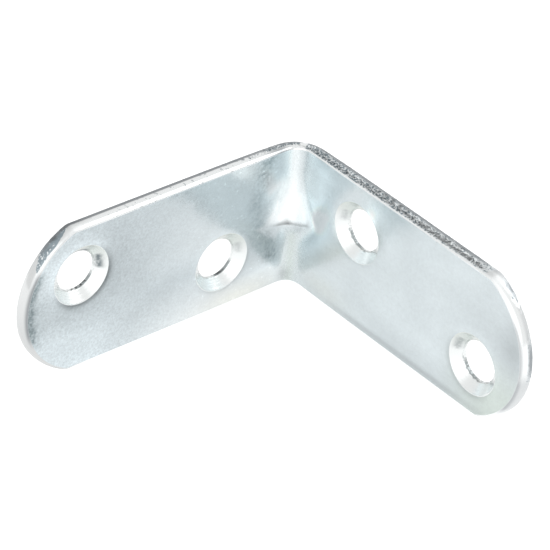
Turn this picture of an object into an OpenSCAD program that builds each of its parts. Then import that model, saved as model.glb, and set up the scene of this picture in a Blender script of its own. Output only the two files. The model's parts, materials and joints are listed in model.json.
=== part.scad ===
// Corner brace: one strip of sheet steel folded to a right angle and standing on its lower long edge.
// The origin is the sharp heel where the two outside faces would meet, level with that edge.
// The right leg runs along +X and the left leg along -Y, so the inside of the angle faces +X and -Y.

/* [Strip] */
// Length of each leg, from the heel to the tip of its rounded end
leg_length = 40; // [34:0.5:80]
// Width of the strip, which is the height of the brace as it stands
strip_width = 19; // [16:0.5:30]
// Thickness of the sheet
thickness = 1.5; // [1:0.1:2]
// Radius inside the fold
fold_radius = 1.9; // [0.8:0.1:3]
// How much larger the radius of a leg's end is than half the width
end_ease = 0.8; // [0:0.1:6]

/* [Sheared edge] */
// How far the rolled edge of the inside face reaches in from the cut
roll_width = 0.5; // [0.5:0.1:1.2]
// How deep the rolled edge falls away at the cut
roll_depth = 0.45; // [0.1:0.05:0.5]

/* [Screw holes] */
// From the heel to the centre of the near hole
near_hole = 12; // [11:0.5:14]
// From the centre of the far hole to the tip of the leg
far_hole = 7.7; // [7:0.1:10]
// How far the holes stand above or below the middle of the strip
hole_stagger = 3; // [0:0.1:3.5]
// Diameter of the screw hole
hole_d = 5; // [3:0.1:5.5]
// Diameter of the countersink at the inside face
countersink_d = 7.2; // [6:0.1:8]
// Angle between the sides of the countersink
countersink_angle = 90; // [82:1:110]

/* [Gusset] */
// How far the crest of the pressed gusset reaches along each leg from the inside corner
gusset_reach = 3.5; // [2.8:0.1:5]
// How far the upper flank of the gusset runs up the fold from the crest
gusset_rise = 4.5; // [3:0.1:5.5]
// How far the steeper lower flank runs down the fold from the crest
gusset_fall = 2.8; // [2.2:0.1:4]
// Radius of the gusset's crest
crest_radius = 0.5; // [0.3:0.1:1]
// Thickness of the pressed wall, a little under that of the sheet
gusset_wall = 1.3; // [0.9:0.1:1.6]

/* [Hidden] */
$fn = 96;

// Clearance by which a cutting shape passes the face that it cuts
past = 1;

mid_z = strip_width / 2;
heel_radius = fold_radius + thickness;
straight_length = leg_length - heel_radius;
end_radius = strip_width / 2 + end_ease;
end_centre = leg_length - end_radius;

// The roll is an arc that leaves the inside face smoothly and ends at the cut.
roll_radius = (roll_width * roll_width + roll_depth * roll_depth) / (2 * roll_depth);

hole_r = hole_d / 2;
countersink_r = countersink_d / 2;
countersink_half = countersink_angle / 2;
far_hole_place = leg_length - far_hole;

// Across the heel, distances are measured along the diagonal from the sharp inside corner.
diagonal = sqrt(2);
crest_out = gusset_reach / diagonal;
fold_out = fold_radius * (diagonal - 1);
crest_centre = crest_out - crest_radius;

// A flank is the line from the end of the gusset on the fold that just touches the crest's circle.
flank_run = crest_centre - fold_out;
upper_angle = atan2(gusset_rise, flank_run) - asin(crest_radius / norm([flank_run, gusset_rise]));
lower_angle = atan2(gusset_fall, flank_run) - asin(crest_radius / norm([flank_run, gusset_fall]));

// Heights, at the distance out, of the flanks and of lines beside them, which pass the crest's centre at the distance off.
function upper_at(out, off) = (off - (out - crest_centre) * sin(upper_angle)) / cos(upper_angle);
function lower_at(out, off) = -(off - (out - crest_centre) * sin(lower_angle)) / cos(lower_angle);

// Distance out at which those two lines meet.
function tip_out(off) = crest_centre + off * (cos(upper_angle) + cos(lower_angle)) / sin(upper_angle + lower_angle);

steel = "silver";

// The corner that the roll takes off a cut edge: the edge is at y = 0, and the inside face at x = thickness.
module roll_cut() {
    difference() {
        translate([thickness - roll_depth, -past])
            square([roll_depth + past, roll_width + past]);
        translate([thickness - roll_radius, roll_width])
            circle(roll_radius);
    }
}

// Section across the strip: x runs from the outside face to the inside face, and y across the width.
module strip_section() {
    difference() {
        square([thickness, strip_width]);
        roll_cut();
        translate([0, strip_width])
            mirror([0, 1])
                roll_cut();
    }
}

// The rounded end of a blank, revolved about the centre of its arc: x is the radius and y the thickness.
module end_section() {
    difference() {
        square([end_radius, thickness]);
        translate([end_radius, 0])
            rotate(90)
                roll_cut();
    }
}

// Shape that trims a flat leg to length and to its rounded end, with the leg along X and its outside face at y = 0.
module end_trim() {
    translate([heel_radius - past, -thickness, -past])
        cube([end_centre - heel_radius + past, thickness, strip_width + 2 * past]);
    translate([end_centre, 0, mid_z])
        rotate([90, 0, 0])
            rotate_extrude()
                end_section();
}

// One flat leg, along X, with its outside face at y = 0 and its inside face at y = -thickness.
module flat_leg() {
    intersection() {
        translate([heel_radius, 0, 0])
            rotate([90, 0, 90])
                mirror([1, 0, 0])
                    linear_extrude(straight_length)
                        strip_section();
        end_trim();
    }
}

// The fold: a quarter turn of the strip's section about the axis of the bend.
module fold() {
    translate([heel_radius, -heel_radius, 0])
        rotate([0, 0, 90])
            rotate_extrude(angle = 90)
                translate([heel_radius, 0])
                    mirror([1, 0])
                        strip_section();
}

// A screw hole through a leg that lies along X: a straight bore at the back, opening to the countersink in front.
module screw_hole() {
    cone_depth = (countersink_r - hole_r) / tan(countersink_half);
    rotate([90, 0, 0]) {
        translate([0, 0, -past])
            cylinder(h = thickness + 2 * past, r = hole_r);
        translate([0, 0, thickness - cone_depth])
            cylinder(h = cone_depth + past, r1 = hole_r, r2 = countersink_r + past * tan(countersink_half));
    }
}

// The two holes of a leg along X, one each side of the middle of the strip; side is 1 to put the near one above.
module screw_holes(side) {
    translate([near_hole, 0, mid_z + side * hole_stagger])
        screw_hole();
    translate([far_hole_place, 0, mid_z - side * hole_stagger])
        screw_hole();
}

// The leg that runs along +X, turned to lie along -Y on the other side of the heel.
module on_left_leg() {
    mirror([1, 1, 0])
        children();
}

// Turns a section drawn as (distance out along the diagonal, height) into a bar across the heel.
module across_heel(length) {
    translate([thickness, -thickness, mid_z])
        rotate([0, 0, -45])
            rotate([90, 0, 0])
                linear_extrude(length, center = true)
                    children();
}

// Section of the gusset's front: the crest's circle, and the two flanks that leave it.
module crest_section() {
    polygon([
        [crest_centre + crest_radius * sin(upper_angle), crest_radius * cos(upper_angle)],
        [0, upper_at(0, crest_radius)],
        [0, lower_at(0, crest_radius)],
        [crest_centre + crest_radius * sin(lower_angle), -crest_radius * cos(lower_angle)]
    ]);
    translate([crest_centre, 0])
        circle(crest_radius);
}

// Section of the dent: a wedge whose sides lie behind the flanks by the thickness of the pressed wall.
module dent_section() {
    off = crest_radius - gusset_wall;
    back = -2 * heel_radius;
    polygon([
        [tip_out(off), upper_at(tip_out(off), off)],
        [back, upper_at(back, off)],
        [back, lower_at(back, off)]
    ]);
}

// The front of the gusset, kept within the two outside faces.
module gusset_front() {
    reach = gusset_reach + 2 * thickness;
    intersection() {
        across_heel(2 * reach)
            crest_section();
        translate([0, -2 * reach, 0])
            cube([2 * reach, 2 * reach, strip_width]);
    }
}

// The dent that the punch leaves behind the gusset, open to the outside of the heel.
module gusset_dent() {
    across_heel(4 * (gusset_reach + thickness))
        dent_section();
}

module corner_brace() {
    color(steel)
        difference() {
            union() {
                flat_leg();
                on_left_leg()
                    flat_leg();
                fold();
                gusset_front();
            }
            gusset_dent();
            screw_holes(1);
            on_left_leg()
                screw_holes(-1);
        }
}

corner_brace();
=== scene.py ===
"""Corner brace: one strip of zinc-plated steel, folded to a right angle, on a pale studio floor.

The skin of the brace is worked out in the coordinates of its flat blank. u runs along the strip, from
the tip of the left leg (negative) over the heel (zero) to the tip of the right leg, and on a flat leg its
size is the distance from the sharp heel. z runs across the strip. depth runs through the sheet, from the
outside face (zero) to the inside face. Sizes are in metres where no docstring says millimetres. The frame
gives the sizes that the solid model sets.
"""

import json
import logging
from dataclasses import dataclass, field
from enum import Enum
from functools import cached_property

import bpy
import numpy as np
from mathutils import Matrix, Vector


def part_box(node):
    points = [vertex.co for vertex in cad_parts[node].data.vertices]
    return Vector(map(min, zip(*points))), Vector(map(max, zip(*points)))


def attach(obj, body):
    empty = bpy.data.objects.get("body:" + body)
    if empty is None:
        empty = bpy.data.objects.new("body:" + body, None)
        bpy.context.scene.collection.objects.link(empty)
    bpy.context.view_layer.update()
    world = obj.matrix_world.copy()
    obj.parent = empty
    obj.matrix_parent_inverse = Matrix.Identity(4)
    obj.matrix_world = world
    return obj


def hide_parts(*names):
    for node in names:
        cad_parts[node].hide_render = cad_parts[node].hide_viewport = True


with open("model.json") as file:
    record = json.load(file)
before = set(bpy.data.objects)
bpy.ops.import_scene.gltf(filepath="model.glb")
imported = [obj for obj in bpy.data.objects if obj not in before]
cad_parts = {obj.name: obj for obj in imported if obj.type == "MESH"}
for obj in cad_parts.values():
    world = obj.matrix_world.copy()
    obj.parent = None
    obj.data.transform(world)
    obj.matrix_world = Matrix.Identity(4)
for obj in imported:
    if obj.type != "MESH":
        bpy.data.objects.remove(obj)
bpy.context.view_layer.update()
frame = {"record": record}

MM = 0.001
NODE = "corner_brace"
BODY = "root"
SEED = 7

Array = np.ndarray
Socket = bpy.types.NodeSocket
Colour = tuple[float, float, float, float]
WHITE: Colour = (1.0, 1.0, 1.0, 1.0)
log = logging.getLogger("corner_brace")


class Leg(Enum):
    """The two legs, as the sign of u on each."""

    RIGHT = 1
    LEFT = -1


class Finish(Enum):
    """The finishes of the strip, as the slots of its mesh."""

    FACE = 0
    EDGE = 1
    COUNTERSINK = 2


def smooth_step(low: float, high: float, value: Array) -> Array:
    """Go from 0 at low to 1 at high along 3t^2 - 2t^3; where low is the larger, it falls."""
    t = np.clip((value - low) / (high - low), 0.0, 1.0)
    return t * t * (3.0 - 2.0 * t)


def bell(value: Array, middle: float, reach: float) -> Array:
    """Bell curve, exp(-((value - middle) / reach)^2)."""
    return np.exp(-(((value - middle) / reach) ** 2))


def triple(*parts: Array | float) -> Array:
    """Numbers of one place each, side by side in a last axis."""
    return np.stack(np.broadcast_arrays(*parts), axis=-1)


def smooth_max(a: Array, b: Array, blend: float) -> Array:
    """The larger of a and b, with a parabola of that width laid into the corner where they cross."""
    meet = np.maximum(blend - np.abs(a - b), 0.0)
    return np.maximum(a, b) + meet * meet / (4.0 * blend)


def ripple(seed: int, scale: float, *coords: Array, waves: int = 24) -> Array:
    """Sum of plane waves with random directions and phases, about 1 in height and scale apart.

    Args:
        seed: Seed of the directions and phases, so that each run gives the same surface.
        scale: Mean wavelength, in the units of coords.
        coords: Coordinates of the points, one array for each axis.
        waves: Number of waves that are summed.

    Returns:
        Heights, with the shape of the coordinates.
    """
    rng = np.random.default_rng(seed)
    total = np.zeros(np.broadcast(*coords).shape)
    for _ in range(waves):
        direction = rng.normal(size=len(coords))
        direction /= np.linalg.norm(direction)
        pitch = scale * rng.uniform(0.6, 1.6)
        phase = rng.uniform(0.0, 2.0 * np.pi)
        along = sum(d * c for d, c in zip(direction, coords))
        total += np.sin(2.0 * np.pi * along / pitch + phase)
    return total * np.sqrt(2.0 / waves)


@dataclass(frozen=True)
class Fold:
    """Middle surface of the sheet round the heel: it bends most there and eases into the flat legs."""

    half_length: float = 2.75 * MM
    samples: int = 4000

    def heading(self, share: Array) -> Array:
        """Direction of the sheet at a share s of the half length: 45 degrees (1 - (3s - s^3) / 2)."""
        return 0.25 * np.pi * (1.0 - (3.0 * share - share**3) / 2.0)

    def track(self, thickness: float) -> tuple[Array, Array, Array]:
        """Course of the middle surface, as the integral of its direction.

        Args:
            thickness: Thickness of the sheet, whose outside faces pass through the origin.

        Returns:
            Shares of the half length from -1 to 1, with x and y there.
        """
        share = np.linspace(-1.0, 1.0, 2 * self.samples + 1)
        heading = self.heading(share)
        step = self.half_length / self.samples
        x = self.running_sum(np.cos(heading)) * step
        y = self.running_sum(np.sin(heading)) * step
        x += thickness / 2.0
        y += -thickness / 2.0 - y[-1]
        return share, x, y

    @staticmethod
    def running_sum(values: Array) -> Array:
        """Sum of trapezia up to each value."""
        return np.concatenate([[0.0], np.cumsum((values[1:] + values[:-1]) / 2.0)])


@dataclass(frozen=True)
class Gusset:
    """The gusset pressed into the fold, measured from the sharp inside corner and from its crest."""

    reach: float = 3.5 * MM
    rise: float = 4.5 * MM
    fall: float = 2.8 * MM
    crest_radius: float = 0.45 * MM
    wall: float = 1.3 * MM
    blend: float = 0.7 * MM
    side_blend: tuple[float, float] = (0.7 * MM, 0.3 * MM)
    side_span: tuple[float, float] = (0.5 * MM, 4.0 * MM)
    turn: float = 0.09
    turn_reach: float = 7.0 * MM
    bow: float = 0.34 * MM
    bow_middle: float = -1.2 * MM
    bow_reach: float = 3.0 * MM
    drop: float = 0.2 * MM

    def crest_height(self, u: Array) -> Array:
        """Height of the crest above the middle of the strip: bow exp(-((u - middle) / reach)^2) - drop."""
        return self.bow * bell(u, self.bow_middle, self.bow_reach) - self.drop

    def fillet(self, u: Array) -> Array:
        """Width of the fillet between the gusset and the sheet, which grows away from the heel."""
        left, right = self.side_blend
        near, far = self.side_span
        return self.blend + left * smooth_step(near, far, -u) + right * smooth_step(near, far, u)

    def slope(self, up: Array, fold_out: float) -> Array:
        """Distance that the flank above or below the crest falls back for each unit of height."""
        return (self.reach / np.sqrt(2.0) - fold_out) / np.where(up > 0.0, self.rise, self.fall)

    def front(self, up: Array, fold_out: float) -> Array:
        """How far the crest and flanks stand out along the diagonal, at a height above the crest.

        Each flank is half a hyperbola: crest + m (r - sqrt(up^2 + r^2)), where m is its slope and r gives
        the crest its radius.
        """
        slope = self.slope(up, fold_out)
        soft = self.crest_radius * slope
        return self.reach / np.sqrt(2.0) + slope * (soft - np.sqrt(up * up + soft * soft))


@dataclass(frozen=True)
class Hole:
    """A screw hole with its countersink, placed by its distance along the leg and its height there.

    Its land is ragged, with waves whose pitch is a share of the radius.
    """

    along: float
    up: float
    radius: float
    rim: float = 3.6 * MM
    rim_round: float = 0.16 * MM
    back_round: float = 0.07 * MM
    cone_stop: float = 0.4
    ragged: float = 0.03 * MM
    ragged_pitch: float = 0.2
    lip_points: int = 5
    cone_points: int = 9
    land_points: int = 5
    back_points: int = 4

    @property
    def cone(self) -> float:
        """Depth of the countersink's cone, which is as deep as it is wide."""
        return self.rim - self.radius

    def distance(self, along: Array, up: Array) -> Array:
        """Distance of points from the hole's axis."""
        return np.hypot(along - self.along, up - self.up)

    def section(self, thickness: float) -> tuple[Array, Array]:
        """Rows of the hole's wall, from the inside face to the outside face.

        The lip and the outside corner are arcs. Between them lie the cone, which stops a little short of
        its foot, and the straight land.

        Args:
            thickness: Thickness of the sheet.

        Returns:
            Distance from the hole's axis and depth below the inside face, for each row.
        """
        lip = np.linspace(0.0, 0.25 * np.pi, self.lip_points)
        lip_r = self.rim + self.rim_round * (1.0 - np.sin(lip))
        lip_d = self.rim_round * (1.0 - np.cos(lip))
        stop = self.cone_stop * self.rim_round * np.tan(np.pi / 8.0)
        slope = np.linspace(0.0, 1.0, self.cone_points)[1:-1]
        cone_r = lip_r[-1] + slope * (self.radius + stop - lip_r[-1])
        cone_d = lip_d[-1] + slope * (self.cone - stop - lip_d[-1])
        land_d = np.linspace(self.cone, thickness - self.back_round, self.land_points)
        land_r = np.full_like(land_d, self.radius)
        back = np.linspace(0.0, 0.5 * np.pi, self.back_points)[1:]
        back_r = self.radius + self.back_round * (1.0 - np.cos(back))
        back_d = thickness - self.back_round * (1.0 - np.sin(back))
        radius = np.concatenate([lip_r, cone_r, land_r, back_r])
        return radius, np.concatenate([lip_d, cone_d, land_d, back_d])


@dataclass(frozen=True)
class Blank:
    """The strip: its outline when flat, and the map that folds, presses and dresses it into place."""

    leg_length: float
    width: float
    holes: dict[Leg, list[Hole]]
    thickness: float = 1.5 * MM
    end_ease: float = 0.8 * MM
    blank_corner: float = 1.5 * MM
    fold: Fold = field(default_factory=Fold)
    gusset: Gusset = field(default_factory=Gusset)
    heel_dip: float = 0.32 * MM
    heel_bulge: float = 0.04 * MM
    heel_lift: float = 0.22 * MM
    dip_reach: float = 5.0 * MM
    dip_fade: float = 2.2 * MM
    dish: float = 0.05 * MM
    dish_reach: float = 0.7 * MM

    @property
    def end_radius(self) -> float:
        """Radius of a leg's rounded end."""
        return self.width / 2.0 + self.end_ease

    @cached_property
    def fold_track(self) -> tuple[Array, Array, Array]:
        """Course of the middle surface round the heel."""
        return self.fold.track(self.thickness)

    @cached_property
    def fold_end(self) -> float:
        """Distance from the heel at which a leg becomes flat."""
        return float(self.fold_track[1][-1])

    @cached_property
    def fold_out(self) -> float:
        """How far the inside of the fold stands out from the sharp inside corner, along the diagonal."""
        centre = float(self.fold_track[1][self.fold.samples])
        return np.sqrt(2.0) * (centre - self.thickness) + self.thickness / 2.0

    def on_leg(self, leg: Leg, along: Array, up: Array) -> tuple[Array, Array]:
        """Turn a leg's own distances into u and z, or back: the left leg is the right one half turned."""
        if leg is Leg.RIGHT:
            return along, up
        return -along, self.width - up

    def face_depth(self, u: Array, z: Array) -> Array:
        """Depth of the inside face, which is drawn down a little round each countersink.

        The drop is dish exp(-(r - rim) / reach), where r is the distance from the hole's axis.
        """
        drop = np.zeros(np.broadcast(u, z).shape)
        for leg, holes in self.holes.items():
            along, up = self.on_leg(leg, u, z)
            for hole in holes:
                away = np.maximum(hole.distance(along, up) - hole.rim, 0.0)
                drop += self.dish * np.exp(-away / self.dish_reach)
        return self.thickness - drop

    def below_face(self, u: Array, z: Array, below: Array, fade_depth: float) -> Array:
        """Depth of points below the inside face, whose dish fades out over the fade depth."""
        fade = np.clip(1.0 - below / fade_depth, 0.0, 1.0)
        return self.thickness - below - fade * (self.thickness - self.face_depth(u, z))

    def in_space(self, u: Array, z: Array, depth: Array) -> Array:
        """Place points of the sheet in space.

        A point lies beside the fold's middle surface, square to it, and past the fold it lies straight on
        its leg. The gusset then lifts the sheet along the diagonal, to the smooth maximum of the sheet and
        the gusset's section. The section is turned a little, by turn u, and its fillet grows away from the
        heel. The dent behind it follows at the pressed wall's thickness. Last, both long edges draw in at
        the outside of the heel, by dip / (1 + (u / reach)^2); at the inside the lower one lifts and the
        upper one swells.

        Args:
            u: Place along the strip.
            z: Place across the strip.
            depth: Depth from the outside face.

        Returns:
            Points, with a last axis of three.
        """
        u, z, depth = np.broadcast_arrays(u, z, depth)
        bent = np.clip(u, -self.fold_end, self.fold_end)
        share, track_x, track_y = self.fold_track
        heading = self.fold.heading(bent / self.fold_end)
        from_middle = depth - self.thickness / 2.0
        x = np.interp(bent / self.fold_end, share, track_x) + from_middle * np.sin(heading)
        y = np.interp(bent / self.fold_end, share, track_y) - from_middle * np.cos(heading)
        x = x + np.maximum(u - bent, 0.0)
        y = y + np.minimum(u - bent, 0.0)
        inward = depth / self.thickness
        turned = np.clip(u, -self.gusset.turn_reach, self.gusset.turn_reach)
        up = z - self.width / 2.0 - self.gusset.crest_height(u)
        out = (x - y - 2.0 * self.thickness) / np.sqrt(2.0)
        front = self.gusset.front(up, self.fold_out) - self.gusset.turn * turned
        flank = np.arctan(self.gusset.slope(up, self.fold_out))
        crest = front - (1.0 - inward) * self.gusset.wall / np.cos(flank)
        shift = (smooth_max(out, crest, self.gusset.fillet(u)) - out) / np.sqrt(2.0)
        across = 1.0 / (1.0 + (u / self.dip_reach) ** 2)
        top = inward * (self.heel_bulge + self.heel_dip) - self.heel_dip
        low = inward * (self.heel_lift - self.heel_dip) + self.heel_dip
        rise = top * np.exp(-(self.width - z) / self.dip_fade) + low * np.exp(-z / self.dip_fade)
        return triple(x + shift, y - shift, z + across * rise)


@dataclass(frozen=True)
class Sampling:
    """Spacing of the skin's points."""

    fold_half: float = 7.0 * MM
    middle: float = 22.0 * MM
    inset: float = 0.5 * MM
    fold_step: float = 0.165 * MM
    edge_step: float = 0.26 * MM
    rows: int = 88
    row_ease: float = 0.6
    middle_rows: int = 56
    corner_points: int = 5
    ring_steps: int = 24


@dataclass
class RimPath:
    """Points along the cut outline of the blank, anticlockwise, with normals that point off the blank.

    Both have two columns: along the leg and up.
    """

    points: Array
    normals: Array

    def __getitem__(self, rows: slice) -> "RimPath":
        """Part of the path, or the path turned round."""
        return RimPath(self.points[rows], self.normals[rows])

    def inset(self, distance: float) -> Array:
        """Points at a distance in from the outline."""
        return self.points - distance * self.normals

    @staticmethod
    def joined(parts: list["RimPath"]) -> "RimPath":
        """One path of several that follow each other."""
        points = np.concatenate([part.points for part in parts])
        return RimPath(points, np.concatenate([part.normals for part in parts]))


def steps_between(start: float, end: float, step: float) -> Array:
    """Even steps of about that size from start to end, both included."""
    return np.linspace(start, end, max(2, int(round(abs(end - start) / step)) + 1))


class BlankOutline:
    """The cut outline of one leg, in pieces that the face and the rim share."""

    def __init__(self, blank: Blank, sampling: Sampling) -> None:
        """Work out where the rounded end meets the long edges.

        Args:
            blank: The strip.
            sampling: Spacing of the points.
        """
        self.blank = blank
        self.sampling = sampling
        half = blank.width / 2.0
        small, large = blank.blank_corner, blank.end_radius
        self.end_centre = blank.leg_length - large
        self.corner_centre = self.end_centre + np.sqrt((large - small) ** 2 - (half - small) ** 2)
        self.corner_angle = np.arctan2(half - small, self.corner_centre - self.end_centre)

    def long_edge(self, start: float, end: float, step: float, *, upper: bool = False) -> RimPath:
        """A stretch of a long edge: the lower one away from the heel, or the upper one back towards it."""
        along = steps_between(start, end, step)
        height = self.blank.width if upper else 0.0
        points = np.stack([along, np.full_like(along, height)], axis=1)
        normals = np.tile([0.0, 1.0 if upper else -1.0], (along.size, 1))
        path = RimPath(points, normals)
        return path[::-1] if upper else path

    @staticmethod
    def arc(centre: tuple[float, float], radius: float, angles: Array) -> RimPath:
        """Points of an arc at given angles."""
        normals = np.stack([np.cos(angles), np.sin(angles)], axis=1)
        return RimPath(np.array(centre) + radius * normals, normals)

    def round_end(self) -> RimPath:
        """The end of the leg: the end arc between two corner arcs, each tangent to the next."""
        large, small, turn = self.blank.end_radius, self.blank.blank_corner, self.corner_angle
        low = np.linspace(-0.5 * np.pi, -turn, self.sampling.corner_points)[1:]
        end = steps_between(-turn, turn, self.sampling.edge_step / large)[1:]
        high = -low[-2::-1]
        return RimPath.joined([
            self.arc((self.corner_centre, small), small, low),
            self.arc((self.end_centre, self.blank.width / 2.0), large, end),
            self.arc((self.corner_centre, self.blank.width - small), small, high),
        ])

    def middle_heights(self) -> Array:
        """Heights of the points on the line between the two holes' patches."""
        return self.heights(self.sampling.middle_rows, 1.0)

    def fold_heights(self) -> Array:
        """Heights of the rows across the fold, closer together at the crest of the gusset."""
        return self.heights(self.sampling.rows, self.sampling.row_ease)

    def heights(self, count: int, ease: float) -> Array:
        """Heights from inset to inset, spaced by ease t + (1 - ease) t^3 about the middle."""
        t = np.linspace(-1.0, 1.0, count + 1)
        half = self.blank.width / 2.0 - self.sampling.inset
        return self.blank.width / 2.0 + half * (ease * t + (1.0 - ease) * t**3)

    def near_patch(self) -> Array:
        """Border of the face round the hole next to the fold, anticlockwise."""
        s = self.sampling
        stretch = (s.fold_half, s.middle, s.edge_step)
        sides = [
            self.long_edge(*stretch).inset(s.inset),
            self.column(s.middle, self.middle_heights()),
            self.long_edge(*stretch, upper=True).inset(s.inset),
            self.column(s.fold_half, self.fold_heights()[::-1]),
        ]
        return np.concatenate([side[:-1] for side in sides])

    def far_patch(self) -> Array:
        """Border of the face round the hole next to the leg's end, anticlockwise."""
        s = self.sampling
        stretch = (s.middle, self.corner_centre, s.edge_step)
        return np.concatenate([
            self.long_edge(*stretch).inset(s.inset),
            self.round_end().inset(s.inset),
            self.long_edge(*stretch, upper=True).inset(s.inset)[:-1],
            self.column(s.middle, self.middle_heights()[::-1])[:-1],
        ])

    @staticmethod
    def column(along: float, heights: Array) -> Array:
        """Points at one distance along the leg."""
        return np.stack([np.full_like(heights, along), heights], axis=1)

    def half_columns(self) -> Array:
        """Distances of the fold patch's columns on one leg, from the heel."""
        s = self.sampling
        return steps_between(0.0, s.fold_half, s.fold_step)

    def one_leg(self) -> RimPath:
        """The whole outline of a leg, from the heel's lower edge round the end to its upper edge."""
        s = self.sampling
        fold = (0.0, s.fold_half, s.fold_step)
        near = (s.fold_half, s.middle, s.edge_step)
        far = (s.middle, self.corner_centre, s.edge_step)
        return RimPath.joined([
            self.long_edge(*fold)[:-1],
            self.long_edge(*near)[:-1],
            self.long_edge(*far),
            self.round_end(),
            self.long_edge(*far, upper=True),
            self.long_edge(*near, upper=True)[1:],
            self.long_edge(*fold, upper=True)[1:-1],
        ])


class Skin:
    """Gathers grids of points that share their borders, and welds them into one closed mesh."""

    WELD = 1e-7
    WELD_OFFSET = 0.37

    def __init__(self, blank: Blank) -> None:
        """Start with no grids."""
        self.blank = blank
        self.points: list[Array] = []
        self.quads: list[Array] = []
        self.finishes: list[Array] = []
        self.layers: dict[str, list[Array]] = {"sheet": [], "marks": [], "cut": [], "around": []}
        self.count = 0

    def add(
        self,
        u: Array,
        z: Array,
        depth: Array,
        finish: Finish,
        *,
        closed: bool,
        flip: bool,
        marks: Array | tuple = (0.0, 0.0, 1.0),
        cut: Array | tuple = (0.0, 0.0, 0.0),
        around: Array | tuple = (0.0, 0.0, 0.0),
    ) -> None:
        """Add a grid of points of the sheet.

        Args:
            u: Places along the strip, in rows and columns.
            z: Places across the strip.
            depth: Depths from the outside face.
            finish: Finish of the grid's faces.
            closed: Whether the last column joins the first.
            flip: Whether the faces are turned over.
            marks: Share of polished metal and painted highlight, share of painted shade, and tone with
                painted light and shade.
            cut: On the cut, share of torn metal, share of matt metal and painted shade, and amount of
                glints.
            around: In a hole, the directions towards the tip and up, and the radius in millimetres.
        """
        u, z, depth = np.broadcast_arrays(u, z, depth)
        rows, columns = u.shape
        index = np.arange(rows * columns).reshape(rows, columns) + self.count
        right = np.roll(index, -1, axis=1) if closed else index[:, 1:]
        left = index if closed else index[:, :-1]
        quads = np.stack([left[:-1], right[:-1], right[1:], left[1:]], axis=-1).reshape(-1, 4)
        self.quads.append(quads[:, ::-1] if flip else quads)
        self.points.append(self.blank.in_space(u, z, depth).reshape(-1, 3))
        self.finishes.append(np.full(len(quads), finish.value))
        values = {"sheet": triple(u, z, depth) / MM, "marks": marks, "cut": cut, "around": around}
        for name, value in values.items():
            self.layers[name].append(np.broadcast_to(value, (*u.shape, 3)).reshape(-1, 3))
        self.count += u.size

    def mesh(self, name: str) -> bpy.types.Mesh:
        """Weld the grids and write them as a mesh with its attributes.

        Args:
            name: Name of the mesh.

        Returns:
            The mesh, smooth shaded.
        """
        points = np.concatenate(self.points)
        keys = np.floor(points / self.WELD + self.WELD_OFFSET).astype(np.int64)
        _, first, inverse = np.unique(keys, axis=0, return_index=True, return_inverse=True)
        quads = inverse.reshape(-1)[np.concatenate(self.quads)]
        mesh = bpy.data.meshes.new(name)
        mesh.from_pydata(points[first].tolist(), [], quads.tolist())
        mesh.polygons.foreach_set("material_index", np.concatenate(self.finishes).astype(np.int32))
        mesh.polygons.foreach_set("use_smooth", np.ones(len(quads), dtype=bool))
        for label, values in self.layers.items():
            data = np.concatenate(values)[first].astype(np.float32).reshape(-1)
            mesh.attributes.new(label, "FLOAT_VECTOR", "POINT").data.foreach_set("vector", data)
        mesh.update()
        mesh.validate()
        return mesh


@dataclass(frozen=True)
class CutEdge:
    """Section of the sheared edge: a deep roll from the inside face, torn metal and the outer corner."""

    roll_depth: float = 1.1 * MM
    roll_steps: int = 13
    roll_ease: float = 1.3
    wall_steps: int = 6
    lean: float = 0.05 * MM
    tear: float = 0.03 * MM
    tear_pitch: float = 0.7 * MM
    corner: float = 0.07 * MM
    corner_steps: int = 3

    def section(self, thickness: float, inset: float) -> tuple[Array, Array]:
        """Rows of the section, from the inside face to the outside face.

        The roll is a quarter of an ellipse from the face to the cut, the wall runs straight through the
        sheet, and the outer corner is a quarter of a circle.

        Args:
            thickness: Thickness of the sheet.
            inset: Width of the roll.

        Returns:
            Distance off the cut line and depth below the inside face, for each row.
        """
        a = 0.5 * np.pi * np.linspace(0.0, 1.0, self.roll_steps) ** self.roll_ease
        b = np.linspace(0.0, 0.5 * np.pi, self.corner_steps)[1:]
        wall = np.linspace(self.roll_depth, thickness - self.corner, self.wall_steps)[1:]
        outer = thickness + self.corner * (np.sin(b) - 1.0)
        off = [inset * (np.sin(a) - 1.0), np.zeros_like(wall), self.corner * (np.cos(b) - 1.0), [-inset]]
        down = [self.roll_depth * (1.0 - np.cos(a)), wall, outer, [thickness]]
        return np.concatenate(off), np.concatenate(down)


@dataclass(frozen=True)
class Spot:
    """A spot of painted light (change above 0) or painted shade (change below 0) on the inside face: a bell
    along u times a bell across z, in millimetres.
    """

    change: float
    u: float
    reach_u: float
    z: float
    reach_z: float
    lean: float = 0.0

    def at(self, u: Array, z: Array) -> Array:
        """Change of lightness at each place."""
        across = z - self.lean * (u - self.u)
        return self.change * bell(u, self.u, self.reach_u) * bell(across, self.z, self.reach_z)


@dataclass(frozen=True)
class Streak:
    """A streak of painted light (change above 0) or painted shade (change below 0) up the inside face: a
    bell along u that sets in across z, in millimetres.
    """

    change: float
    u: float
    reach: float
    start: float
    full: float

    def at(self, u: Array, z: Array) -> Array:
        """Change of lightness at each place."""
        return self.change * bell(u, self.u, self.reach) * smooth_step(self.start, self.full, z)


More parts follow.
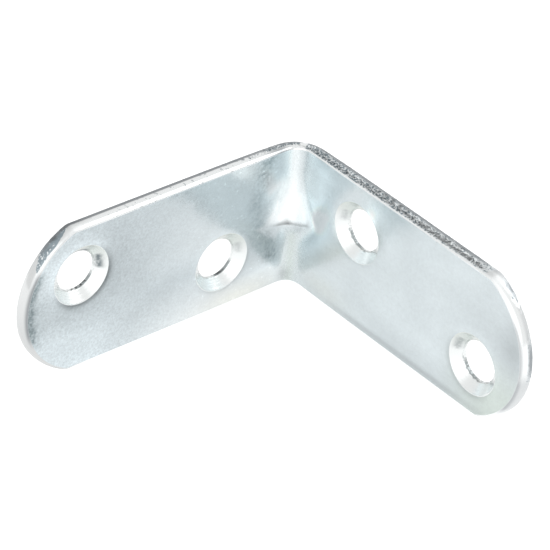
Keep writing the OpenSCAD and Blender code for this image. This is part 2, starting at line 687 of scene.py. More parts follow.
@dataclass(frozen=True)
class FaceBurnishAndPaintedLight:
    """Burnish from the press with painted highlights, and painted light and shade, of the inside face; all
    places in millimetres.
    """

    blank: Blank
    hole_shade_drop: tuple[float, float] = (0.14, 0.42)
    hole_shade_width: tuple[float, float] = (0.30, 0.48)
    # The streaks and spots are painted light and painted shade on the inside face.
    streaks: tuple[Streak, ...] = (
        Streak(-0.08, 1.2, 1.1, 12.0, 14.0),
        Streak(-0.20, 4.2, 1.8, 12.2, 13.8),
        Streak(0.15, -2.7, 1.0, 14.5, 17.0),
        Streak(0.14, 4.8, 2.4, 15.6, 17.4),
    )
    gusset_spots: tuple[Spot, ...] = (
        Spot(-0.28, 4.0, 0.8, 9.4, 0.9),
        Spot(0.22, -2.6, 0.9, 7.6, 1.1),
        Spot(-0.16, 2.2, 1.7, 8.4, 1.0),
        Spot(0.34, 5.4, 1.3, 10.2, 1.6),
        Spot(0.14, -4.7, 0.8, 12.0, 1.1),
        Spot(0.07, -4.6, 1.4, 6.4, 1.1),
        Spot(-0.16, -5.5, 1.2, 15.0, 1.4),
    )
    left_spots: tuple[Spot, ...] = (
        Spot(0.18, -5.3, 3.0, 3.4, 1.0),
        Spot(-0.18, -1.8, 1.0, 1.4, 0.9),
        Spot(-0.10, -0.6, 0.9, 1.5, 0.8),
        Spot(0.10, -4.0, 1.3, 1.9, 1.0),
        Spot(-0.08, -8.0, 1.5, 17.4, 1.2),
        Spot(-0.10, -25.0, 5.0, 8.0, 3.5),
        Spot(-0.10, -26.5, 5.0, 14.0, 5.0),
        Spot(-0.10, -37.0, 4.0, 8.0, 3.0),
        Spot(0.10, -37.0, 2.0, 14.6, 2.0),
    )
    right_spots: tuple[Spot, ...] = (
        Spot(-0.20, 6.0, 3.6, 6.2, 1.8, lean=0.55),
        Spot(0.22, 7.0, 1.6, 12.5, 2.6),
        Spot(0.25, 14.2, 0.9, 16.0, 1.1),
        Spot(0.20, 14.6, 1.8, 17.0, 1.4),
        Spot(-0.18, 15.5, 1.0, 13.4, 1.4),
        Spot(0.05, 20.0, 6.0, 4.2, 2.0),
        Spot(0.06, 26.0, 6.0, 7.0, 5.0),
        Spot(-0.05, 34.0, 4.5, 11.0, 3.5),
        Spot(-0.22, 38.4, 2.0, 12.2, 3.4),
    )

    def polish_and_highlight(self, u: Array, z: Array) -> Array:
        """Share of burnished metal and painted highlight: the fold, and wider beside the gusset and on both
        legs.
        """
        above = smooth_step(8.7, 10.4, z)
        top = smooth_step(13.0, 16.0, z)
        strip = bell(u, -1.0, 2.8 - 1.0 * top) * (0.38 + 0.62 * above - 0.1 * top)
        shoulder = bell(u, -2.4, 3.4) * above * (1.0 - 0.6 * top)
        right = 0.8 * bell(u, 4.0, 4.4) * smooth_step(0.5, 3.5, u) * smooth_step(2.0, 9.0, z)
        left = 0.4 * bell(u, -13.5, 7.0) * smooth_step(6.0, 11.0, z)
        return 1.0 - (1.0 - strip) * (1.0 - shoulder) * (1.0 - right) * (1.0 - left)

    def painted_shade(self, u: Array, z: Array) -> Array:
        """Share of painted shade: a dark streak that bulges round the gusset, and a dark band by the rim of
        the left end.

        The streak's middle is at u = -(4.4 + 3.0 bell(z, 12, 4.5) + 1.3 smooth_step(14, 17.5, z)).
        """
        strength = 0.32 + 0.36 * smooth_step(14.0, 17.5, z) + 0.24 * bell(z, 5.7, 2.4)
        middle = -4.4 - 3.0 * bell(z, 12.0, 4.5) - 1.3 * smooth_step(14.0, 17.5, z)
        streak = strength * bell(u - middle, 0.0, 1.25) * smooth_step(3.1, 4.5, z)
        half = self.blank.width / MM / 2.0
        centre = (self.blank.leg_length - self.blank.end_radius) / MM
        depth = self.blank.end_radius / MM - np.hypot(-u - centre, z - half)
        span = smooth_step(4.2, 7.2, z) * smooth_step(15.6, 14.2, z) * smooth_step(32.0, 34.0, -u)
        wide = 0.3 * bell(depth, 1.3, 1.2) * smooth_step(12.0, 9.5, z)
        rim = span * (1.3 * bell(depth, 0.65, 0.55) + wide) * smooth_step(15.4, 13.4, z)
        return np.clip(streak + rim, 0.0, 1.0)

    def crest_line(self, u: Array, z: Array) -> Array:
        """Painted shade along the line under the crest, which is sharp below and soft above."""
        crest = (self.blank.width / 2.0 + self.blank.gusset.crest_height(u * MM)) / MM
        above = z - crest + 0.10
        soft = 0.10 + 0.37 * bell(u, -1.9, 1.3)
        dark = 0.30 + 0.15 * bell(u, -3.0, 1.2) + 0.28 * bell(u, -1.2, 1.0)
        line = dark * bell(above, 0.0, 0.15 + soft * smooth_step(-0.1, 0.1, above))
        return line * smooth_step(4.8, 3.2, np.abs(u + 0.3))

    def lower_bands(self, u: Array, z: Array) -> Array:
        """Lightness of the bands by the lower edges: painted shade on the right leg and painted light on
        the left one.
        """
        near = bell(z, 0.95, 0.5) * smooth_step(3.0, 14.0, u) * (1.0 - 0.6 * smooth_step(27.0, 33.0, u))
        wide = bell(z, 2.2, 1.6) * smooth_step(8.0, 26.0, u) * smooth_step(36.0, 28.0, u)
        leaning = z + 0.28 * (u + 20.0)
        pale = smooth_step(4.0, 0.0, leaning) * smooth_step(24.0, 31.0, -u)
        low = smooth_step(0.0, -4.0, leaning) * smooth_step(12.0, 30.0, -u)
        return -0.25 * near - 0.07 * wide + 0.12 * pale + 0.05 * low

    def hole_shading(self, u: Array, z: Array) -> Array:
        """Painted shade round the countersinks, below and towards the heel, with a ring of painted light
        opposite.
        """
        dark = np.zeros(np.broadcast(u, z).shape)
        for leg, holes in self.blank.holes.items():
            along, up = self.blank.on_leg(leg, u * MM, z * MM)
            for hole, drop, width in zip(holes, self.hole_shade_drop, self.hole_shade_width):
                radius = hole.distance(along, up)
                towards = (along - hole.along) / radius
                upward = leg.value * (up - hole.up) / radius
                away = (radius - hole.rim - hole.rim_round) / MM
                low = np.clip(0.4 - 0.8 * upward - 0.5 * towards, 0.0, 1.0)
                ring = low * (bell(away, 0.05, width) + 0.3 * bell(away, 0.0, 4.0 * width))
                strength = drop if leg is Leg.LEFT else 0.4 * drop
                dark = dark + strength * (ring - 0.35 * (1.0 - low) * bell(away, 0.3, 0.6))
        return dark

    def tone(self, u: Array, z: Array) -> Array:
        """Lightness: 1, with the painted shade of the crest's line and the painted light and shade of the
        lower bands, round the holes, of the streaks and of the spots.
        """
        marks = (*self.streaks, *self.gusset_spots, *self.left_spots, *self.right_spots)
        spotted = 1.0 + sum(mark.at(u, z) for mark in marks)
        return spotted - self.crest_line(u, z) + self.lower_bands(u, z) - self.hole_shading(u, z)

    def on_face(self, u: Array, z: Array) -> Array:
        """Share of burnish and painted highlight, share of painted shade, and tone with painted light and
        shade, of the inside face at places in metres.
        """
        u_mm, z_mm = u / MM, z / MM
        return triple(self.polish_and_highlight(u_mm, z_mm), self.painted_shade(u_mm, z_mm), self.tone(u_mm, z_mm))


class EdgeMarks:
    """How the cut looks at each place of the outline, in millimetres, and each share of the sheet.

    On the left leg the upper edge is burnished, with a narrow matt corner outside and some torn specks next
    to the fold, and the end is torn only near its top. On the right leg the upper edge is torn under a matt
    corner, with more glints towards the end, which is burnished. The lower edge is burnished and then torn.
    Painted shade lies along the rolls of both ends, low on the right end and on the left leg's upper roll
    next to the fold.
    A short stretch at the heel has no marks.
    """

    def __init__(self, u: Array, z: Array, share: Array, width: float) -> None:
        """Find the stretches of the outline.

        Args:
            u: Places of the outline along the strip.
            z: Places of the outline across the strip.
            share: Share of the way from the inside face to the outside face, as a column.
            width: Width of the strip.
        """
        self.u, self.z, self.share = u, z, share
        self.upper = smooth_step(0.55, 0.8, z / width)
        self.right = smooth_step(-0.3, 0.6, u)
        self.left_end = smooth_step(33.0, 35.0, -u)
        self.right_end = smooth_step(31.9, 33.1, u)
        self.corner_tear = self.left_end * smooth_step(-0.9, 0.9, z - 14.3 - 2.4 * share)
        self.heel_gap = 1.0 - bell(u, 0.6, 0.55)

    def joined(self, right: Array, left: Array, lower: Array) -> Array:
        """Join the values of the right and the left upper edge and of the lower edge."""
        upper = self.right * right + (1.0 - self.right) * left
        return self.upper * upper + (1.0 - self.upper) * lower

    def torn(self) -> Array:
        """Share of torn metal."""
        u, z, share = self.u, self.z, self.share
        specks = smooth_step(-14.0, -2.0, u) * (1.0 - self.right)
        left = (0.30 + 0.36 * specks) * (specks > 0.0) * smooth_step(0.25, 0.45, share)
        start = 0.12 + 0.42 * smooth_step(-36.2, -33.4, u)
        left = np.maximum(left, 0.85 * self.corner_tear * smooth_step(0.0, 0.1, share - start))
        cracks = 0.28 + 0.9 * bell(z, 17.6, 0.8) + 0.95 * bell(z, 10.6, 1.9)
        end = self.right_end * cracks * smooth_step(0.45, 0.6, share)
        right = smooth_step(0.05, 0.11, share) * (1.0 - self.right_end) + end
        lower = smooth_step(0.55, 0.7, share) * (1.0 - self.left_end) * (1.0 - self.right_end) + end
        return self.heel_gap * self.joined(right, left, lower)

    def dull_and_shade(self) -> Array:
        """Share of matt metal, and of painted shade along the rolls of both ends, low on the right end and
        on the left leg's upper roll next to the fold.
        """
        u, z, share = self.u, self.z, self.share
        left = smooth_step(0.66, 0.72, share) * (1.0 - 0.25 * bell(u, -5.0, 2.6))
        left = left * (1.0 - self.left_end * (1.0 - 0.8 * smooth_step(15.6, 17.6, z)))
        # painted shade on the upper roll of the left leg, next to the fold
        left = np.maximum(left, 0.7 * bell(u, -4.2, 1.8) * smooth_step(0.5, 0.3, share))
        end = 0.26 + 0.74 * bell(z, 17.9, 0.8) + 0.88 * bell(z, 11.0, 2.1)
        end = end * self.right_end * smooth_step(0.50, 0.70, share)
        right = smooth_step(0.68, 0.76, share) * smooth_step(32.4, 30.8, u) + end
        # painted shade along the roll of the left end, low on the right end and along its roll
        left_line = self.left_end * smooth_step(4.2, 7.2, z) * smooth_step(15.6, 14.2, z)
        low_end = self.right_end * smooth_step(10.2, 7.8, z) * smooth_step(2.0, 4.0, z)
        roll_line = self.right_end * smooth_step(6.0, 8.0, z) * smooth_step(16.5, 14.5, z)
        dull_and_shade = self.joined(right, left, end)
        dull_and_shade = np.maximum(dull_and_shade, 0.9 * left_line * bell(share, 0.0, 0.14))
        dull_and_shade = np.maximum(dull_and_shade, low_end * (0.46 + 0.3 * bell(share, 0.04, 0.12)))
        dull_and_shade = np.maximum(dull_and_shade, 0.6 * roll_line * bell(share, 0.0, 0.13))
        return self.heel_gap * dull_and_shade

    def spark(self) -> Array:
        """Amount of glints."""
        smooth_tear = self.corner_tear * (0.1 + 0.6 * smooth_step(15.5, 17.5, self.z))
        return self.right * (0.25 + 0.8 * smooth_step(6.0, 32.0, self.u)) - smooth_tear


class StripSkin:
    """Builds the skin of the strip: the fold, the faces round the holes, their walls and the cut edge."""

    def __init__(self, blank: Blank) -> None:
        """Prepare the outline and an empty skin."""
        self.blank = blank
        self.sampling = Sampling()
        self.outline = BlankOutline(blank, self.sampling)
        self.cut_edge = CutEdge()
        self.marks = FaceBurnishAndPaintedLight(blank)
        self.skin = Skin(blank)

    def build(self, name: str) -> bpy.types.Object:
        """Build every grid and return the finished object."""
        self.fold()
        for leg, (near, far) in self.blank.holes.items():
            self.patch(leg, near, self.outline.near_patch())
            self.patch(leg, far, self.outline.far_patch())
        self.rim()
        piece = bpy.data.objects.new(name, self.skin.mesh(name))
        bpy.context.scene.collection.objects.link(piece)
        return piece

    def fold(self) -> None:
        """Add both faces across the fold, as grids of u against z."""
        half = self.outline.half_columns()
        u = np.concatenate([-half[:0:-1], half])[None, :]
        z = self.outline.fold_heights()[:, None]
        u, z = np.broadcast_arrays(u, z)
        face = self.blank.face_depth(u, z)
        self.skin.add(u, z, face, Finish.FACE, closed=False, flip=False, marks=self.marks.on_face(u, z))
        self.skin.add(u, z, np.zeros_like(u), Finish.FACE, closed=False, flip=True)

    def patch(self, leg: Leg, hole: Hole, border: Array) -> None:
        """Add both faces round a hole and the wall of the hole.

        Each column runs straight from the hole's rim to a point of the border, so the rings change from a
        circle to the border's outline.

        Args:
            leg: The leg that the hole is in.
            hole: The hole.
            border: Border of the patch, in the leg's own distances.
        """
        centre = np.array([hole.along, hole.up])
        spoke = border - centre
        length = np.linalg.norm(spoke, axis=1)
        ray = spoke / length[:, None]
        share = smooth_step(0.0, 1.0, np.linspace(0.0, 1.0, self.sampling.ring_steps + 1))[:, None]
        for inside in (True, False):
            start = hole.rim + hole.rim_round if inside else hole.radius + hole.back_round
            radius = start + share * (length - start)
            radius[-1] = length
            along = centre[0] + radius * ray[:, 0]
            up = centre[1] + radius * ray[:, 1]
            along[-1], up[-1] = border[:, 0], border[:, 1]
            u, z = self.blank.on_leg(leg, along, up)
            depth = self.blank.face_depth(u, z) if inside else np.zeros_like(u)
            marks = self.marks.on_face(u, z) if inside else (0.0, 0.0, 1.0)
            self.skin.add(u, z, depth, Finish.FACE, closed=True, flip=inside, marks=marks)
        self.hole_wall(leg, hole, ray)

    def hole_wall(self, leg: Leg, hole: Hole, ray: Array) -> None:
        """Add the countersink and the land behind it, as a section carried round the hole.

        The land is a little ragged, most at its middle.

        Args:
            leg: The leg that the hole is in.
            hole: The hole.
            ray: Direction of each column from the hole's axis.
        """
        thickness = self.blank.thickness
        radius, below = (rows[:, None] for rows in hole.section(thickness))
        along, up = ray.T
        on_land = np.clip((below - hole.cone) / (thickness - hole.cone), 0.0, 1.0)
        seed = SEED + 10 * leg.value + int(hole.along / MM)
        uneven = hole.ragged * ripple(seed, hole.ragged_pitch, along, up)
        radius = radius + uneven * np.sin(np.pi * on_land)
        u, z = self.blank.on_leg(leg, hole.along + radius * along, hole.up + radius * up)
        depth = self.blank.below_face(u, z, below, hole.cone)
        depth[-1] = 0.0
        around = triple(along, leg.value * up, radius / MM)
        self.skin.add(u, z, depth, Finish.COUNTERSINK, closed=True, flip=False, around=around)

    def rim(self) -> None:
        """Add the cut edge, as its section carried round the outline of the blank."""
        blank, edge, inset = self.blank, self.cut_edge, self.sampling.inset
        path = self.outline.one_leg()
        u, z = np.concatenate([path.points, (0.0, blank.width) - path.points]).T
        off_u, off_z = np.concatenate([path.normals, -path.normals]).T
        off, down = (rows[:, None] for rows in edge.section(blank.thickness, inset))
        share = down / blank.thickness
        marks = EdgeMarks(u / MM, z / MM, share, blank.width / MM)
        torn = marks.torn()
        wall = smooth_step(0.1, 0.4, share) * smooth_step(1.0, 0.97, share)
        tear = edge.tear * torn * wall * ripple(SEED, edge.tear_pitch / MM, u / MM, z / MM, down / MM)
        reach = off - edge.lean * smooth_step(0.75, 1.0, share) * wall + tear
        reach[[0, -1]] = -inset
        u, z = u + reach * off_u, z + reach * off_z
        depth = blank.below_face(u, z, down, edge.roll_depth)
        depth[-1] = 0.0
        cut = triple(torn, marks.dull_and_shade(), marks.spark())
        self.skin.add(u, z, depth, Finish.EDGE, closed=True, flip=True, cut=cut)


class Shader:
    """Short ways to add and join the nodes of one material or of the room."""

    # For each kind of mix, the places of its two inputs and of its output on the node
    MIX_PLACES = {"RGBA": (6, 7, 2), "VECTOR": (4, 5, 1)}

    def __init__(self, tree: bpy.types.NodeTree, output: str) -> None:
        """Empty a node tree, but for its output."""
        self.tree = tree
        self.tree.nodes.clear()
        self.output = self.add(output)

    def add(self, kind: str, **settings: object) -> bpy.types.Node:
        """Add a node and set its properties, or its inputs by name with underscores for blanks."""
        node = self.tree.nodes.new(kind)
        for key, value in settings.items():
            if hasattr(node, key):
                setattr(node, key, value)
            else:
                self.put(node.inputs[key.replace("_", " ")], value)
        return node

    def put(self, socket: Socket, value: object) -> None:
        """Link a socket to the input, or set the input to a number or colour."""
        if isinstance(value, bpy.types.NodeSocket):
            self.tree.links.new(value, socket)
        else:
            socket.default_value = value

    def fill(self, node: bpy.types.Node, *values: object) -> Socket:
        """Put values into a node's first inputs, and give its first output."""
        for socket, value in zip(node.inputs, values):
            self.put(socket, value)
        return node.outputs[0]

    def attribute(self, name: str) -> Socket:
        """A vector attribute of the mesh."""
        return self.add("ShaderNodeAttribute", attribute_name=name).outputs["Vector"]

    def math(self, operation: str, first: object, *others: object) -> Socket:
        """Numbers joined in turn by one operation."""
        for other in others:
            first = self.fill(self.add("ShaderNodeMath", operation=operation), first, other)
        return first

    def times(self, *values: object) -> Socket:
        """The product of numbers."""
        return self.math("MULTIPLY", *values)

    def plus(self, *values: object) -> Socket:
        """The sum of numbers."""
        return self.math("ADD", *values)

    def one_minus(self, value: object) -> Socket:
        """1 - value."""
        return self.math("SUBTRACT", 1.0, value)

    def noise(self, vector: object, scale: float, detail: float = 2.0, rough: float = 0.5) -> Socket:
        """Noise of that many cycles for each unit of the vector."""
        node = self.add("ShaderNodeTexNoise", Vector=vector, Scale=scale, Detail=detail, Roughness=rough)
        return node.outputs["Fac"]

    def stretch(self, vector: object, scale: tuple[float, float, float]) -> Socket:
        """The vector with its axes scaled apart."""
        return self.add("ShaderNodeMapping", Vector=vector, Scale=scale).outputs["Vector"]

    def span(
        self, value: object, low: float, high: float, to_low: float = 0.0, to_high: float = 1.0
    ) -> Socket:
        """Map a number from one span to another, held at both ends."""
        return self.fill(self.add("ShaderNodeMapRange"), value, low, high, to_low, to_high)

    def mix(self, share: object, first: object, second: object, kind: str = "RGBA") -> Socket:
        """Blend two colours, or two vectors where the kind says so."""
        node = self.add("ShaderNodeMix", data_type=kind)
        place, next_place, output = self.MIX_PLACES[kind]
        self.put(node.inputs[0], share)
        self.put(node.inputs[place], first)
        self.put(node.inputs[next_place], second)
        return node.outputs[output]

    def blend(self, share: object, first: Socket, second: Socket) -> Socket:
        """Blend two surfaces."""
        return self.fill(self.add("ShaderNodeMixShader"), share, first, second)

    def split(self, vector: Socket) -> tuple[Socket, Socket, Socket]:
        """The three numbers of a vector."""
        return tuple(self.add("ShaderNodeSeparateXYZ", Vector=vector).outputs)

    def bell(self, value: Socket, middle: float, reach: float) -> Socket:
        """A bell curve, exp(-((value - middle) / reach)^2)."""
        off = self.math("DIVIDE", self.math("SUBTRACT", value, middle), reach)
        return self.fill(self.add("ShaderNodeMath", operation="EXPONENT"), self.times(off, off, -1.0))

    def shade(self, colour: object, tone: object) -> Socket:
        """The colour times a number."""
        node = self.add("ShaderNodeVectorMath", operation="SCALE")
        self.put(node.inputs[0], colour if isinstance(colour, Socket) else colour[:3])
        self.put(node.inputs["Scale"], tone)
        return node.outputs[0]

    def bump(
        self, height: object, distance: float, strength: object = 1.0, normal: Socket | None = None
    ) -> Socket:
        """Tilt the normal by a height map."""
        node = self.add("ShaderNodeBump", Height=height, Distance=distance, Strength=strength)
        if normal is not None:
            self.put(node.inputs["Normal"], normal)
        return node.outputs[0]

    def metal(self, colour: object, rough: object, normal: Socket) -> None:
        """Finish the material as bare metal."""
        node = self.add("ShaderNodeBsdfPrincipled", Base_Color=colour, Metallic=1.0, Roughness=rough)
        self.put(node.inputs["Normal"], normal)
        self.finish(node.outputs[0])

    def finish(self, surface: object) -> None:
        """Join the surface to the output."""
        self.put(self.output.inputs["Surface"], surface)


def new_material(name: str) -> tuple[bpy.types.Material, Shader]:
    """A material with only its output, and the shader that fills it."""
    material = bpy.data.materials.new(name)
    material.use_nodes = True
    return material, Shader(material.node_tree, "ShaderNodeOutputMaterial")


@dataclass(frozen=True)
class ZincPlate:
    """Bright zinc on rolled sheet: bluish half-gloss metal with fine grain, burnished by the press, with
    painted highlights and painted light and shade.
    """

    # the left leg's darker colour is painted shade; both legs are the same metal
    left: Colour = (0.60, 0.66, 0.685, 1.0)
    right: Colour = (0.685, 0.745, 0.765, 1.0)
    burnished: Colour = (0.93, 0.975, 0.985, 1.0)
    blue_highlight: Colour = (0.86, 0.965, 1.0, 1.0)
    # colour of the painted shade by the fold and by the left end's rim
    painted_shade_colour: Colour = (0.25, 0.30, 0.315, 1.0)
    tip: Colour = (0.68, 0.75, 0.715, 1.0)
    warm_light: Colour = (0.90, 0.91, 0.855, 1.0)
    below_crest_shade: Colour = (0.69, 0.75, 0.735, 1.0)
    yellowed: Colour = (0.70, 0.74, 0.715, 1.0)
    roughness: float = 0.16

    def material(self) -> bpy.types.Material:
        """Build the material."""
        material, s = new_material("zinc_plate")
        sheet = s.attribute("sheet")
        polish_and_highlight, painted_shade, tone = s.split(s.attribute("marks"))
        u, z, _ = s.split(sheet)
        clouds = s.noise(s.stretch(sheet, (0.12, 0.2, 0.2)), 1.0, 3.0)
        speck = s.noise(sheet, 2.4, 3.0, 0.65)
        fine = s.noise(sheet, 3.6, 2.0, 0.65)
        # painted light, low on the left leg
        low = s.times(s.span(z, 6.5, 1.0), s.bell(u, -13.0, 10.0))
        tip = s.times(s.span(u, 27.0, 35.0), s.span(z, 10.0, 5.0))
        # painted yellowish light along the lower edge of the left leg
        warm_light_mask = s.times(s.span(z, 3.5, 1.2, 0.0, 0.75), s.bell(u, -9.0, 5.0))
        pale = s.times(0.6, s.bell(z, 2.2, 1.6), s.bell(u, 7.5, 3.5))
        # painted shade on the lower flank, under the gusset's crest
        below_crest_mask = s.times(s.span(z, 8.4, 7.0), s.bell(u, -0.1, 1.4))
        layers = (
            (low, s.shade(self.burnished, 0.84)),
            (tip, self.tip),
            (warm_light_mask, self.warm_light),
            (pale, self.yellowed),
            # burnish and painted highlights, bluish on the right of the gusset
            (polish_and_highlight, s.mix(s.bell(u, 5.0, 3.5), self.burnished, self.blue_highlight)),
            (below_crest_mask, self.below_crest_shade),
            # painted shade in the streak by the fold and by the left end's rim
            (s.times(painted_shade, s.span(speck, 0.34, 0.62, 1.3, 0.5)), self.painted_shade_colour),
        )
        colour = s.mix(s.span(u, -2.0, 2.5), self.left, self.right)
        for share, layer in layers:
            colour = s.mix(share, colour, layer)
        level = s.plus(
            s.span(clouds, 0.35, 0.65, 0.96, 1.04),
            s.span(speck, 0.3, 0.7, -0.03, 0.03),
            s.times(s.span(u, -12.0, -28.0, 0.02, 0.11), s.span(fine, 0.3, 0.7, -1.0, 1.0)),
            # small bright specks on the left leg: painted glints
            s.times(s.span(speck, 0.66, 0.72, 0.0, 0.3), s.bell(u, -9.0, 8.0)),
        )
        rough = s.span(fine, 0.3, 0.7, self.roughness - 0.03, self.roughness + 0.05)
        rough = s.plus(rough, s.times(s.bell(u, 1.0, 6.0), 0.1))
        waves = s.bump(s.noise(sheet, 0.35, 1.0), 0.03 * MM, 1.0, s.bump(fine, 0.0035 * MM))
        s.metal(s.shade(colour, s.times(level, tone)), rough, waves)
        return material


@dataclass(frozen=True)
class ShearedSteel:
    """The plated cut: a burnished band with a few pits, sparkling torn metal and a matt outer corner, with
    painted shade along the ends and a lighter painted tone on the right leg.
    """

    burnish: Colour = (0.955, 0.975, 0.975, 1.0)
    torn: Colour = (0.24, 0.285, 0.31, 1.0)
    glint: Colour = (0.93, 0.97, 0.98, 1.0)
    dull_and_shade: Colour = (0.29, 0.31, 0.325, 1.0)

    def material(self) -> bpy.types.Material:
        """Build the material."""
        material, s = new_material("sheared_steel")
        sheet = s.attribute("sheet")
        torn, dull_and_shade, spark = s.split(s.attribute("cut"))
        u, z, _ = s.split(sheet)
        grit = s.noise(s.stretch(sheet, (1.0, 1.0, 1.3)), 3.6, 1.5, 0.6)
        wander = s.times(s.plus(s.noise(sheet, 1.6, 2.0), -0.5), 0.8)
        share = s.times(s.span(s.plus(torn, wander), 0.44, 0.56), s.span(torn, 0.0, 0.1))
        glints = s.span(s.plus(grit, s.times(spark, 0.13)), 0.51, 0.57)
        # painted light: the torn metal is lighter on the right leg and towards the left end
        dark = s.plus(s.span(u, -2.0, 4.0, 1.0, 1.3), s.span(u, -31.0, -35.0, 0.0, 0.35))
        # painted shade on the left end's burnished band, darkest low down
        left_end = s.times(s.span(u, -31.0, -35.0), s.span(z, 5.0, 14.0, 0.30, 0.18))
        smooth = s.shade(self.burnish, s.one_minus(left_end))
        pits = s.span(s.noise(sheet, 2.6, 0.0), 0.66, 0.71, 0.0, 0.5)
        smooth = s.mix(s.times(s.bell(u, -17.0, 12.0), s.span(z, 14.0, 16.0), pits), smooth, self.torn)
        colour = s.mix(share, smooth, s.mix(glints, s.shade(self.torn, dark), self.glint))
        # painted light: the matt colour is lighter on the right leg
        colour = s.mix(dull_and_shade, colour, s.shade(self.dull_and_shade, s.span(u, -2.0, 4.0, 1.0, 1.2)))
        side = s.fill(s.add("ShaderNodeMath", operation="ABSOLUTE"), u)
        rough = s.times(share, s.span(spark, 0.2, 1.0, 0.18, 0.06))
        rough = s.plus(0.16, rough, s.times(s.bell(side, 33.4, 1.6), 0.42))
        flat = s.add("ShaderNodeNewGeometry").outputs["Normal"]
        gritty = s.bump(grit, 0.07 * MM, s.span(spark, 0.2, 1.0, 1.0, 0.5))
        s.metal(colour, rough, s.mix(s.times(share, s.one_minus(dull_and_shade)), flat, gritty, "VECTOR"))
        return material


@dataclass(frozen=True)
class CountersunkSteel:
    """The plated countersink and hole: bright, with marks round the cone and a ragged edge, and painted
    shade on the cone's upper side, in patches, on the lower land and along the ragged edge.
    """

    colour: Colour = (0.92, 0.945, 0.94, 1.0)
    # colour of the cone's upper side, darker as painted shade
    upper: Colour = (0.74, 0.78, 0.755, 1.0)
    painted_shade_colour: Colour = (0.21, 0.245, 0.255, 1.0)

    def material(self) -> bpy.types.Material:
        """Build the material; the hole next to the left tip has the heaviest painted shade."""
        material, s = new_material("countersunk_steel")
        around = s.attribute("around")
        sheet = s.attribute("sheet")
        towards, up, radius = s.split(around)
        u, _, _ = s.split(sheet)
        left_tip, right_tip = s.span(u, -24.0, -26.0), s.span(u, 20.0, 26.0)
        marks = s.noise(s.stretch(around, (0.6, 0.6, 3.0)), 1.6, 3.0)
        grit = s.noise(sheet, 3.0, 2.0)
        lift = s.plus(s.span(left_tip, 0.0, 1.0, 0.26, 0.20), s.times(right_tip, 0.10))
        back = s.times(towards, s.span(left_tip, 0.0, 1.0, -0.966, -1.0))
        side = s.plus(s.times(up, lift), back, s.times(right_tip, -0.02))
        # painted shade in a patch on the side of the cone, heaviest in the hole next to the left tip
        painted_shade = s.times(
            s.span(side, 0.945, 0.985),
            s.bell(s.plus(radius, s.times(right_tip, -0.15)), 2.95, 0.38),
            s.span(grit, 0.34, 0.52, 0.55, 1.0),
            s.plus(s.span(left_tip, 0.0, 1.0, 0.36, 1.0), s.times(right_tip, 0.2)),
        )
        # painted shade on the top of the cone in the hole next to the left tip
        top = s.times(s.span(up, 0.78, 0.93), s.bell(radius, 2.72, 0.24), left_tip)
        # painted shade in beads along the lower half of the ragged edge
        ragged = s.times(
            s.bell(radius, 2.56, 0.07),
            s.span(up, 0.0, -0.4),
            s.span(grit, 0.50, 0.60, 0.0, 0.75),
            s.span(u, -2.0, 2.0, 0.35, 1.0),
        )
        # painted shade on the lower side of the land
        below = s.plus(s.times(up, -0.85), s.times(towards, -0.53))
        land = s.times(s.span(radius, 2.56, 2.53, 0.0, 0.75), s.span(below, 0.78, 0.92))
        # painted shade: the upper side of the cone is darker
        colour = s.mix(s.span(up, 0.1, 0.6), self.colour, self.upper)
        colour = s.mix(s.math("MAXIMUM", painted_shade, top, ragged, land), colour, self.painted_shade_colour)
        s.metal(colour, 0.27, s.bump(marks, 0.03 * MM))
        return material


class CornerBrace:
    """The brace itself: reads its sizes from the frame, builds its skin and dresses it."""

    def __init__(self) -> None:
        """Read the sizes that the solid model sets."""
        low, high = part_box(NODE)
        mounts = {m["name"]: m for m in frame["record"]["mounts"]}
        width = high.z - low.z
        holes = {}
        for leg in Leg:
            names = [f"{leg.name.lower()}_{place}_hole" for place in ("near", "far")]
            holes[leg] = [self.hole(mounts[name], leg, width) for name in names]
        self.blank = Blank(high.x - low.x, width, holes)

    @staticmethod
    def hole(mount: dict, leg: Leg, width: float) -> Hole:
        """A screw hole in its leg's own distances, from the record's mount."""
        x, y, z = mount["pos_m"]
        radius = mount["dims"]["r_mm"] * MM
        if leg is Leg.RIGHT:
            return Hole(x, z, radius)
        return Hole(-y, width - z, radius)

    def build(self) -> bpy.types.Object:
        """Build the skin, give it its finishes and put it in the node's place."""
        piece = StripSkin(self.blank).build("folded_strip")
        for finish in (ZincPlate(), ShearedSteel(), CountersunkSteel()):
            piece.data.materials.append(finish.material())
        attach(piece, BODY)
        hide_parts(NODE)
        return piece


def bearing(azimuth: float, elevation: float) -> Vector:
    """Direction from the brace, at an azimuth and an elevation in degrees."""
    az, el = np.radians(azimuth), np.radians(elevation)
    return Vector((np.cos(el) * np.cos(az), np.cos(el) * np.sin(az), np.sin(el)))


@dataclass(frozen=True)
class RoomPatch:
    """A soft patch of light or shade on the walls of the room, with its angles in degrees."""

    azimuth: float
    elevation: float
    full: float
    fade: float
    change: float

    @property
    def span(self) -> tuple[float, float]:
        """Cosines of the angles at which the patch starts and is full."""
        return float(np.cos(np.radians(self.fade))), float(np.cos(np.radians(self.full)))


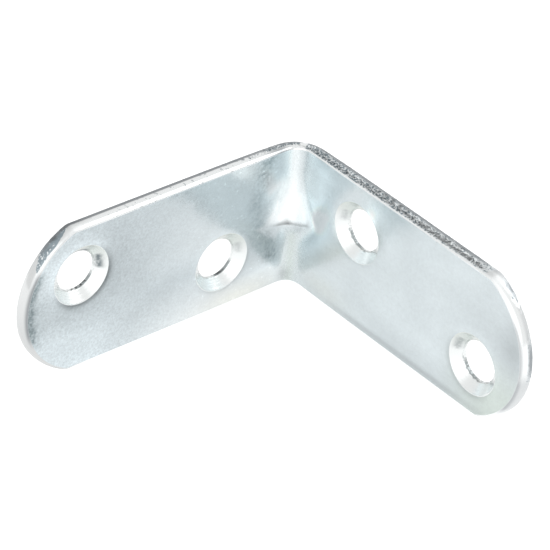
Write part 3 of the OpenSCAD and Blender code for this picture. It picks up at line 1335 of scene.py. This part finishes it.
@dataclass(frozen=True)
class Studio:
    """The pale floor, the soft light round it and the camera."""

    floor_half: float = 1.5
    floor_colour: Colour = (0.92, 0.92, 0.92, 1.0)
    floor_seen: float = 0.9
    floor_reflected: float = 0.5
    floor_glow: float = 1.32
    room: float = 1.08
    patches: tuple[RoomPatch, ...] = (
        RoomPatch(172.0, 42.0, 17.0, 27.0, -0.9),
        RoomPatch(-47.0, 20.0, 22.0, 50.0, 0.6),
        RoomPatch(65.0, 45.0, 14.0, 26.0, 1.6),
    )
    azimuth: float = -42.631
    elevation: float = 34.2
    roll: float = 5.101
    distance: float = 433.52 * MM
    target: tuple[float, float, float] = (10.57 * MM, -11.992 * MM, 10.016 * MM)
    lens: float = 254.72

    def floor(self) -> bpy.types.Object:
        """The floor, which looks white to the camera and in reflections and keeps part of the shadow."""
        h = self.floor_half
        mesh = bpy.data.meshes.new("studio_floor")
        mesh.from_pydata([(-h, -h, 0.0), (h, -h, 0.0), (h, h, 0.0), (-h, h, 0.0)], [], [(0, 1, 2, 3)])
        plane = bpy.data.objects.new("studio_floor", mesh)
        bpy.context.scene.collection.objects.link(plane)
        material, s = new_material("studio_floor")
        diffuse = s.add("ShaderNodeBsdfDiffuse", Color=self.floor_colour)
        white = s.add("ShaderNodeEmission", Color=WHITE, Strength=self.floor_glow)
        path = s.add("ShaderNodeLightPath").outputs
        seen = s.times(path["Is Camera Ray"], self.floor_seen)
        reflected = s.times(path["Is Glossy Ray"], self.floor_reflected)
        s.finish(s.blend(s.plus(seen, reflected), diffuse.outputs[0], white.outputs[0]))
        mesh.materials.append(material)
        return plane

    def world(self) -> None:
        """A bright room with its patches, so that the metal has something to reflect."""
        world = bpy.data.worlds.new("studio_room")
        bpy.context.scene.world = world
        world.use_nodes = True
        s = Shader(world.node_tree, "ShaderNodeOutputWorld")
        towards = s.add("ShaderNodeTexCoord").outputs["Generated"]
        strength = self.room
        for patch in self.patches:
            dot = s.add("ShaderNodeVectorMath", operation="DOT_PRODUCT")
            s.fill(dot, towards, bearing(patch.azimuth, patch.elevation))
            ramp = s.add("ShaderNodeMapRange", interpolation_type="SMOOTHSTEP")
            light = s.fill(ramp, dot.outputs["Value"], *patch.span, 0.0, patch.change)
            strength = s.plus(strength, light)
        room = s.add("ShaderNodeBackground", Strength=strength)
        white = s.add("ShaderNodeBackground", Color=WHITE)
        seen = s.add("ShaderNodeLightPath").outputs["Is Camera Ray"]
        s.finish(s.blend(seen, room.outputs[0], white.outputs[0]))

    def camera(self) -> bpy.types.Object:
        """The camera, at the photograph's angle: aimed at the target and rolled about its own axis."""
        data = bpy.data.cameras.new("camera")
        data.lens = self.lens
        data.sensor_width = 36.0
        camera = bpy.data.objects.new("camera", data)
        bpy.context.scene.collection.objects.link(camera)
        towards = bearing(self.azimuth, self.elevation)
        camera.location = Vector(self.target) + self.distance * towards
        aim = (-towards).to_track_quat("-Z", "Y").to_matrix()
        camera.rotation_euler = (aim @ Matrix.Rotation(np.radians(self.roll), 3, "Z")).to_euler()
        bpy.context.scene.camera = camera
        return camera

    def build(self) -> None:
        """Build the floor, the light and the camera."""
        self.floor()
        self.world()
        self.camera()


def main() -> None:
    """Build the brace and the studio, and report each piece."""
    logging.basicConfig(level=logging.INFO, format="%(name)s: %(message)s")
    scene = bpy.context.scene
    scene.view_settings.view_transform = "Standard"
    piece = CornerBrace().build()
    log.info("%s: %d faces", piece.name, len(piece.data.polygons))
    Studio().build()
    log.info("studio: floor, room and camera")
    bpy.context.view_layer.update()


if __name__ == "__main__":
    main()
